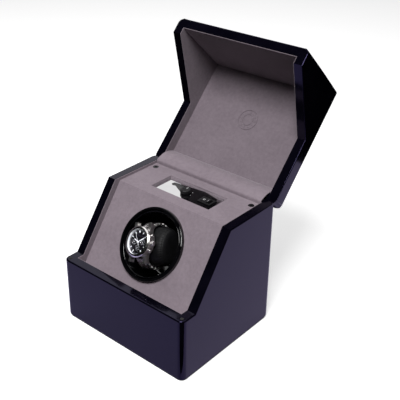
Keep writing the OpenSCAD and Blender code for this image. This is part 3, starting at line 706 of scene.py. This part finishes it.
def make_emblem():
    """A plain dial of twelve ticks between two rings, embossed in the lid's lining."""
    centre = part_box("lid_emblem")
    middle = SHUT @ ((centre[0] + centre[1]) / 2)
    facing = SHUT.inverted() @ Matrix.Translation(middle) @ Matrix.Rotation(math.pi, 4, "X")
    bm = bmesh.new()
    for radius, half in ((EMBLEM_R, 0.55), (EMBLEM_R - 5.6, 0.4)):
        angles = [math.pi * k / 4 for k in range(8)]
        profile = [(radius + half * math.cos(a), half * math.sin(a)) for a in angles]
        lathe(bm, [(r * MM, z * MM) for r, z in profile], 72)
    for k in range(12):
        long = 3.0 if k % 3 == 0 else 1.8
        place = at(turned=math.radians(30 * k)) @ at(y=9.6)
        cuboid(bm, (0.9 * MM, long * MM, 0.8 * MM), place, 0.3 * MM)
    # The emblem's darker suede is partly the pressing and partly painted shade
    piece("emblem_pressed", bm, "lid", "suede", "suede_pressed_and_shaded", ["lid_emblem"], facing)


# ---------- controls ----------


def extrude(bm, outline, z0, z1, place=STILL):
    """A flat piece from an outline of (x, y), between two heights, all in millimetres."""
    part = bmesh.new()
    layers = [[part.verts.new((x * MM, y * MM, z * MM)) for x, y in outline] for z in (z0, z1)]
    part.faces.new(layers[0])
    part.faces.new(layers[1])
    count = len(outline)
    for k in range(count):
        n = (k + 1) % count
        part.faces.new((layers[0][k], layers[0][n], layers[1][n], layers[1][k]))
    bmesh.ops.transform(part, matrix=place, verts=part.verts)
    join(bm, part)


plate_low, plate_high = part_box("control_plate")
plate_top = plate_high.z
plate_y = (plate_low.y + plate_high.y) / 2
knob_at = Vector(joints["knob_turn"]["pos_m"])
rocker_at = Vector(joints["rocker_tilt"]["pos_m"])
WINDOW_HALF = (42.3, 16.7)
KNOB_FLUTES = 20


def fluted(radius, angle):
    grip = 0.045 * (0.5 + 0.5 * math.cos(KNOB_FLUTES * angle))
    return radius * (1 - grip) if 5.7 * MM < radius else radius


def make_controls():
    half_x, half_y = WINDOW_HALF
    bm = bmesh.new()
    # A thin black sheet on the mirror plate, in a given outline round the knob and rocker: painted dark reflection
    # and shade
    outline = [
        (1.5, -half_y), (half_x, -half_y), (half_x, -4), (31, half_y - 5), (10, half_y - 0.6), (-31, 10.5),
        (-32, 6.8), (-29.2, 4.2), (-25, 5.2), (-5, -5.6),
    ]
    extrude(bm, outline, 0, 0.12, Matrix.Translation((0, plate_y, plate_top)))
    piece("painted_reflection_sheet", bm, "case", "satin_black", "gloss_black")

    bm = bmesh.new()
    profile = [(0, -12.5), (3, -12.5), (3, 0.5), (5.9, 0.5), (6.2, 0.8), (6.2, 3.7), (6.0, 4.2), (5.4, 4.6),
               (4.8, 4.7), (3.6, 4.55), (0, 4.5)]
    lathe(bm, [(r * MM, z * MM) for r, z in profile], 200, fluted)
    piece("knob_fluted", bm, "knob", "satin_black", replaced=["mode_knob"], place=Matrix.Translation(knob_at))

    bm = bmesh.new()
    cuboid(bm, (0.7 * MM, 3.4 * MM, 0.3 * MM), at(y=3.5, z=4.65), 0.1 * MM)
    piece("knob_pointer", bm, "knob", "watch_white", place=Matrix.Translation(knob_at))

    bm = bmesh.new()
    for k in range(5):
        turned = math.radians(-100 + 50 * k)
        lathe_at = at(turned=turned) @ at(y=8.2)
        disc(bm, 0.42, 0.12, 0.22, lathe_at)
    marks_at = Matrix.Translation((knob_at.x, knob_at.y, plate_top))
    piece("knob_marks", bm, "case", "watch_white", place=marks_at)

    bm = bmesh.new()
    leaning = Matrix.Translation(rocker_at) @ Matrix.Rotation(math.radians(-7), 4, "Y")
    face = math.atan2(1.0, 5.4)
    cuboid(bm, (0.5 * MM, 3.0 * MM, 0.14 * MM), at(2.9, 0, 4.45, -face, "Y"), 0.05 * MM)
    ring = bmesh.new()
    lathe(ring, [(r * MM, z * MM) for r, z in ((0.95, 0), (1.4, 0), (1.4, 0.12), (0.95, 0.12))], 32)
    bmesh.ops.transform(ring, matrix=at(-2.9, 0, 4.4, face, "Y"), verts=ring.verts)
    join(bm, ring)
    piece("rocker_marks", bm, "rocker", "watch_white", place=leaning)


def disc(bm, radius, z0, z1, place=STILL, steps=24):
    """A low round button with a broken edge, in millimetres."""
    part = bmesh.new()
    soft = min(0.25 * (z1 - z0), 0.2 * radius)
    profile = [(0, z0), (radius, z0), (radius, z1 - soft), (radius - soft, z1), (0, z1)]
    lathe(part, [(r * MM, z * MM) for r, z in profile], steps)
    bmesh.ops.transform(part, matrix=place, verts=part.verts)
    join(bm, part)


def hoop(bm, r_in, r_out, z0, z1, place=STILL, steps=96):
    """A flat ring with broken edges, in millimetres."""
    part = bmesh.new()
    soft = 0.25 * min(z1 - z0, r_out - r_in)
    outer = [(r_in, z0), (r_out, z0), (r_out, z1 - soft), (r_out - soft, z1)]
    profile = outer + [(r_in + soft, z1), (r_in, z1 - soft)]
    lathe(part, [(r * MM, z * MM) for r, z in profile], steps)
    bmesh.ops.transform(part, matrix=place, verts=part.verts)
    join(bm, part)


# ---------- watch ----------

BAND_T = 2.6
BAND_W = 17
LINK_COUNT = 18
LINK_GAP = 1
BAND_FROM = math.radians(50)
BAND_STEP = math.radians(-280 / LINK_COUNT)
CLASP = range(7, 11)


def band_point(angle):
    """A point on the strap's path round the cushion, in the cushion's (y, z) and millimetres."""
    grow = BAND_T / 2 + 0.4
    y = (CUSHION_HALF.y / MM + grow) * math.cos(angle)
    z = (CUSHION_HALF.z / MM + grow) * math.sin(angle)
    return Vector((y, z))


def link_places(chosen):
    """For each chosen link, its place on the cushion and its length in millimetres."""
    for i in chosen:
        p = band_point(BAND_FROM + i * BAND_STEP)
        q = band_point(BAND_FROM + (i + 1) * BAND_STEP)
        middle = (p + q) / 2
        lean = math.atan2(q.y - p.y, q.x - p.x)
        yield AT_CUSHION @ at(0, middle.x, middle.y, lean, "X"), (q - p).length - LINK_GAP


def make_bracelet():
    side = BAND_W * 0.26
    centre = BAND_W - 2 * side - 0.3
    links = [i for i in range(LINK_COUNT) if i not in CLASP]
    outer, inner, pins = bmesh.new(), bmesh.new(), bmesh.new()
    for place, long in link_places(links):
        for s in (-1, 1):
            x = s * (BAND_W - side) / 2
            cuboid(outer, (side * MM, (long + 0.35) * MM, (BAND_T - 0.4) * MM), place @ at(x=x), 0.55 * MM, 3)
        for s in (-1, 1):
            y = s * (long / 4 + 0.12)
            cuboid(inner, (centre * MM, (long / 2 + 0.1) * MM, BAND_T * MM), place @ at(y=y), 0.6 * MM, 3)
        cuboid(pins, ((BAND_W - 0.8) * MM, (long + 0.8) * MM, 1.0 * MM), place @ at(z=-0.2), 0.3 * MM)
    piece("bracelet_sides", outer, "watch_cushion", "watch_steel", replaced=["watch_bracelet"])
    piece("bracelet_centres", inner, "watch_cushion", "watch_steel", "watch_polished", ["watch_bracelet"])
    piece("bracelet_pins", pins, "watch_cushion", "watch_steel", "watch_dark", ["watch_bracelet"])
    bm = bmesh.new()
    for place, long in link_places(CLASP):
        cuboid(bm, (BAND_W * MM, (long + 0.9) * MM, (BAND_T - 0.5) * MM), place, 0.6 * MM, 3)
    piece("clasp_folded", bm, "watch_cushion", "watch_steel", replaced=["bracelet_clasp"])


DIAL_Z = 6.4
DIAL_R = 14.1
SUBDIALS = [(90, 6.2), (180, 6.2), (270, 6.2)]


def make_dial():
    bm = bmesh.new()
    under = [(0, DIAL_Z - 0.6), (DIAL_R, DIAL_Z - 0.6), (DIAL_R, DIAL_Z)]
    profile = under + [(9.4, DIAL_Z + 0.05), (0, DIAL_Z + 0.05)]
    lathe(bm, [(r * MM, z * MM) for r, z in profile], 96)
    piece("dial_face", bm, "watch_cushion", "watch_black", replaced=["watch_dial"], place=AT_WATCH)

    track, batons, rings, marks = bmesh.new(), bmesh.new(), bmesh.new(), bmesh.new()
    for k in range(60):
        place = at(turned=math.radians(6 * k)) @ at(y=12.75, z=DIAL_Z + 0.05)
        cuboid(track, (0.14 * MM, 0.6 * MM, 0.06 * MM), place)
    for k in range(12):
        if (k % 3) or k == 0:
            for shift in ((-0.55, 0.55) if k == 0 else (0,)):
                place = at(turned=math.radians(30 * k)) @ at(shift, 11.2, DIAL_Z + 0.2)
                cuboid(batons, (0.8 * MM, 2.2 * MM, 0.36 * MM), place, 0.12 * MM)
    for degrees, out in SUBDIALS:
        here = at(turned=math.radians(degrees)) @ at(y=out)
        upright = here @ at(turned=-math.radians(degrees))
        hoop(rings, 2.75, 3.05, DIAL_Z, DIAL_Z + 0.22, here, 48)
        for k in range(12):
            place = here @ at(turned=math.radians(30 * k)) @ at(y=2.3, z=DIAL_Z + 0.06)
            cuboid(marks, (0.14 * MM, 0.5 * MM, 0.06 * MM), place)
        pointing = upright @ at(turned=math.radians(degrees * 0.7))
        cuboid(marks, (0.22 * MM, 2.0 * MM, 0.1 * MM), pointing @ at(0, 0.7, DIAL_Z + 0.2))
        disc(marks, 0.35, DIAL_Z, DIAL_Z + 0.3, here)
    piece("minute_track", track, "watch_cushion", "watch_white", replaced=["dial_markers"], place=AT_WATCH)
    piece("hour_batons", batons, "watch_cushion", "watch_white", replaced=["dial_markers"], place=AT_WATCH)
    replaced = ["dial_markers"]
    piece("subdial_rings", rings, "watch_cushion", "watch_steel", "watch_polished", replaced, AT_WATCH)
    piece("subdial_marks", marks, "watch_cushion", "watch_white", replaced=["dial_markers"], place=AT_WATCH)


def make_hands():
    """Tapered hour and minute hands, a fine seconds hand with a tail, and the cap that holds them."""
    bm = bmesh.new()
    for turned, long, wide, z in ((62, 7.4, 0.62, 6.85), (-62, 11.2, 0.52, 7.2)):
        right = [(0.25, -1.6), (0.3, 0.8), (wide, long * 0.72)]
        left = [(-x, y) for x, y in reversed(right)]
        outline = left[-1:] + right + [(0, long)] + left[:-1]
        extrude(bm, outline, z, z + 0.2, at(turned=math.radians(turned)))
    seconds = [(-0.32, -3.8), (0.32, -3.8), (0.2, -1.2), (0.1, 11.8), (-0.1, 11.8), (-0.2, -1.2)]
    extrude(bm, seconds, 7.5, 7.62, at(turned=math.radians(28)))
    disc(bm, 0.85, 6.45, 7.9, STILL, 32)
    piece("hands_polished", bm, "watch_cushion", "watch_white", replaced=["watch_hands"], place=AT_WATCH)


def make_case():
    bm = bmesh.new()
    inner_lip = [(14.22, 8.0), (14.22, 9.7), (14.4, 10.05), (14.8, 10.2)]
    profile = inner_lip + [(15.3, 10.12), (16.75, 9.1), (17.15, 8.75), (17.3, 8.45), (17.3, 8.0)]
    lathe(bm, [(r * MM, z * MM) for r, z in profile], 144)
    piece("bezel_polished", bm, "watch_cushion", "watch_steel", "watch_polished", ["watch_bezel"], AT_WATCH)

    bm = bmesh.new()
    fall = math.atan2(10.12 - 9.1, 16.75 - 15.3)
    for k in range(60):
        long = 0.9 if k % 5 == 0 else 0.5
        place = at(turned=math.radians(6 * k)) @ at(0, 16.0, 9.66, -fall, "X")
        cuboid(bm, (0.16 * MM, long * MM, 0.06 * MM), place)
    piece("bezel_scale", bm, "watch_cushion", "watch_black", "watch_dark", (), AT_WATCH)

    bm = bmesh.new()
    profile = [(13.75, DIAL_Z), (DIAL_R, DIAL_Z), (DIAL_R, 8.9), (13.98, 8.95)]
    lathe(bm, [(r * MM, z * MM) for r, z in profile], 96)
    piece("rehaut", bm, "watch_cushion", "watch_steel", "watch_bright", (), AT_WATCH)

    bm = bmesh.new()
    stem = [(0, -3.6), (0.85, -3.6), (0.85, -0.2)]
    profile = stem + [(2.3, -0.2), (2.5, 0.05), (2.5, 1.9), (2.3, 2.2), (0, 2.4)]
    lathe(bm, [(r * MM, z * MM) for r, z in profile], 144, crown_fluting)
    out = AT_WATCH @ at(0, 0, 4, math.pi / 2, "Y") @ at(z=WATCH_R / MM + 0.5)
    piece("crown_fluted", bm, "watch_cushion", "watch_steel", replaced=["watch_crown"], place=out)


def crown_fluting(radius, angle):
    return radius * (1 - 0.06 * (0.5 + 0.5 * math.cos(18 * angle))) if 2.2 * MM < radius else radius


make_cushion()
make_gusset()
make_emblem()
make_controls()
make_bracelet()
make_dial()
make_hands()
make_case()

for name, width in (
    ("left_liner", 0.3), ("right_liner", 0.3), ("front_liner", 0.3), ("fascia", 0.5), ("deck", 0.5),
    ("lid_top_liner", 0.3), ("lid_left_liner", 0.3), ("lid_right_liner", 0.3), ("lid_front_liner", 0.3),
    ("deck_screws", 0.3), ("rocker_housing", 0.35), ("power_rocker", 0.4), ("base_felt", 0.3),
    ("watch_case", 0.35), ("watch_pushers", 0.3), ("watch_crystal", 0.25), ("dc_inlet", 0.3),
):
    soften(name, width)
nodes["watch_crystal"].visible_shadow = False

make_camera()
make_stage()
make_light()
scene.view_settings.view_transform = "Standard"

for name, obj in nodes.items():
    # Suede on the lid takes the darker copy, which paints shade on the lid's lining
    finish = "suede_lid_painted_shade" if slot_of[name] == "suede" and body_of(name) == "lid" else slot_of[name]
    obj.data.materials.clear()
    obj.data.materials.append(materials[finish])
